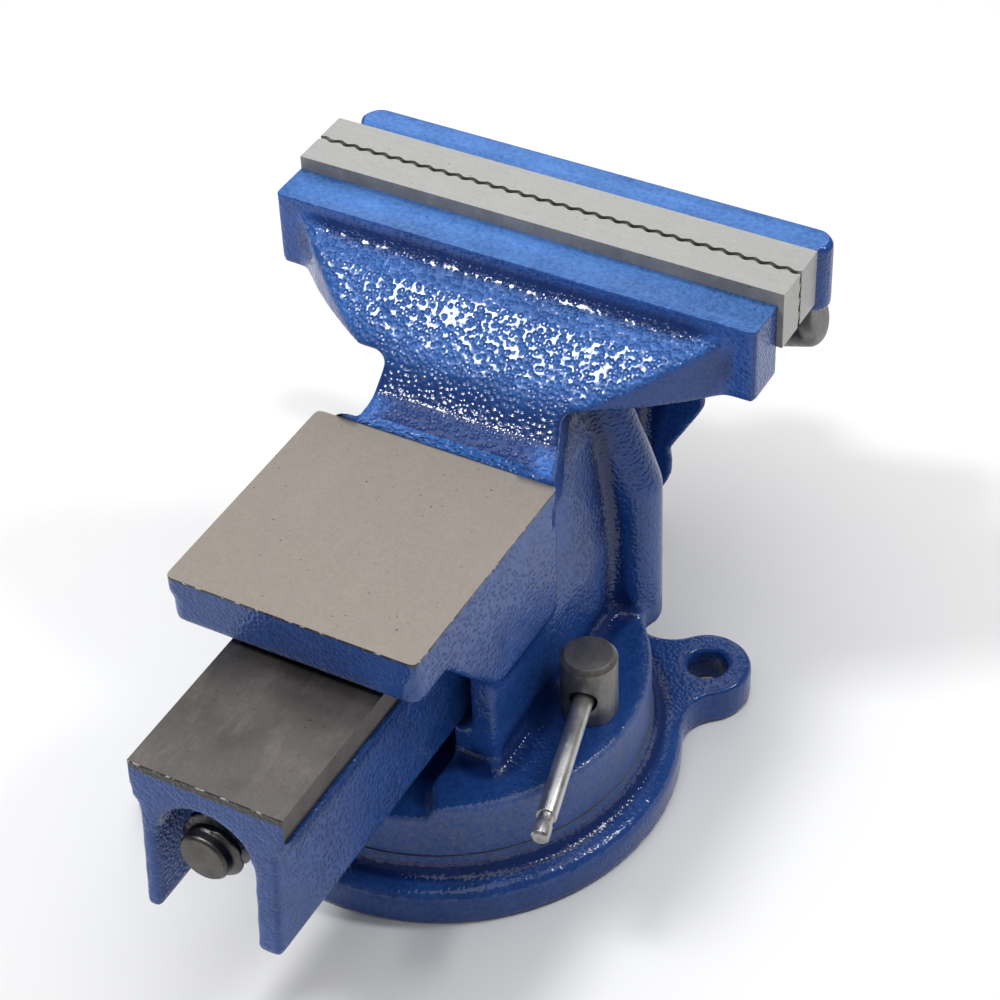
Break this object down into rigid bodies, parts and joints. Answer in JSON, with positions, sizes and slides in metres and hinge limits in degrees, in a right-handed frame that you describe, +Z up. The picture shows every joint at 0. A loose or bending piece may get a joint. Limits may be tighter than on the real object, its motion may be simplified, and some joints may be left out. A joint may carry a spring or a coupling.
{
  "type": "bench vise",
  "caption": "Swivel-base bench vise with a sliding jaw, lead screw, cross handle, hardened jaw plates and a flat anvil behind the jaws.",
  "frame": {"origin": "where the swivel axis meets the bench, at the underside of the base", "axes": "+Z up along the swivel axis, -Y towards the moving jaw and the handle, +Y towards the anvil and the slide's tail, X along the jaws"},
  "size_m": [0.179, 0.2659, 0.1499],
  "materials": {
    "blue_paint": "glossy hammered paint on castings",
    "ground_steel": "ground and serrated",
    "turned_steel": "turned, oiled",
    "black_steel": "black oxide",
    "cast_iron": "bare casting"
  },
  "bodies": {
    "base": {"swivel_base": "blue_paint"},
    "body": {"fixed_jaw_body": "blue_paint", "fixed_jaw_plate": "ground_steel", "fixed_plate_screws": "black_steel", "lead_nut": "cast_iron", "nut_bolt": "black_steel", "nut_bolt_washer": "ground_steel", "lock_t_nut_left": "black_steel", "lock_t_nut_right": "black_steel"},
    "jaw": {"moving_jaw": "blue_paint", "moving_jaw_plate": "ground_steel", "moving_plate_screws": "black_steel", "thrust_washer": "ground_steel", "screw_spring": "turned_steel"},
    "screw": {"lead_screw": "turned_steel", "spring_washer": "ground_steel", "split_pin": "ground_steel"},
    "handle": {"handle_bar": "turned_steel", "handle_knob_left": "turned_steel", "handle_knob_right": "turned_steel"},
    "lock_left": {"lock_screw_left": "turned_steel"},
    "lock_right": {"lock_screw_right": "turned_steel"},
    "lock_bar_left": {"lock_bar_left": "turned_steel"},
    "lock_bar_right": {"lock_bar_right": "turned_steel"}
  },
  "joints": [
    {"name": "swivel", "type": "hinge", "parent": "base", "child": "body", "pos_m": [0, 0, 0], "axis": [0, 0, 1], "continuous": true},
    {"name": "jaw_slide", "type": "slide", "parent": "body", "child": "jaw", "axis": [0, -1, 0], "range_m": [0, 0.125]},
    {"name": "screw_turn", "type": "hinge", "parent": "jaw", "child": "screw", "pos_m": [0, -0.13, 0.0704], "axis": [0, 1, 0], "range_deg": [0, 9001]},
    {"name": "handle_slide", "type": "slide", "parent": "screw", "child": "handle", "axis": [0.9532, 0, -0.3024], "range_m": [-0.0679, 0.0238]},
    {"name": "lock_turn_left", "type": "hinge", "parent": "body", "child": "lock_left", "pos_m": [0.0462, -0.001, 0.046], "axis": [0, 0, 1], "range_deg": [-5, 178]},
    {"name": "lock_turn_right", "type": "hinge", "parent": "body", "child": "lock_right", "pos_m": [-0.0462, -0.001, 0.046], "axis": [0, 0, 1], "range_deg": [-27, 150]},
    {"name": "lock_bar_slide_left", "type": "slide", "parent": "lock_left", "child": "lock_bar_left", "axis": [0.2588, -0.9659, 0], "range_m": [-0.0255, 0.002]},
    {"name": "lock_bar_slide_right", "type": "slide", "parent": "lock_right", "child": "lock_bar_right", "axis": [-0.2504, 0.9681, 0], "range_m": [-0.0255, 0.002]}
  ],
  "couplings": [
    {"joint": "screw_turn", "follows": "jaw_slide", "rad_per_m": 1256.6}
  ]
}
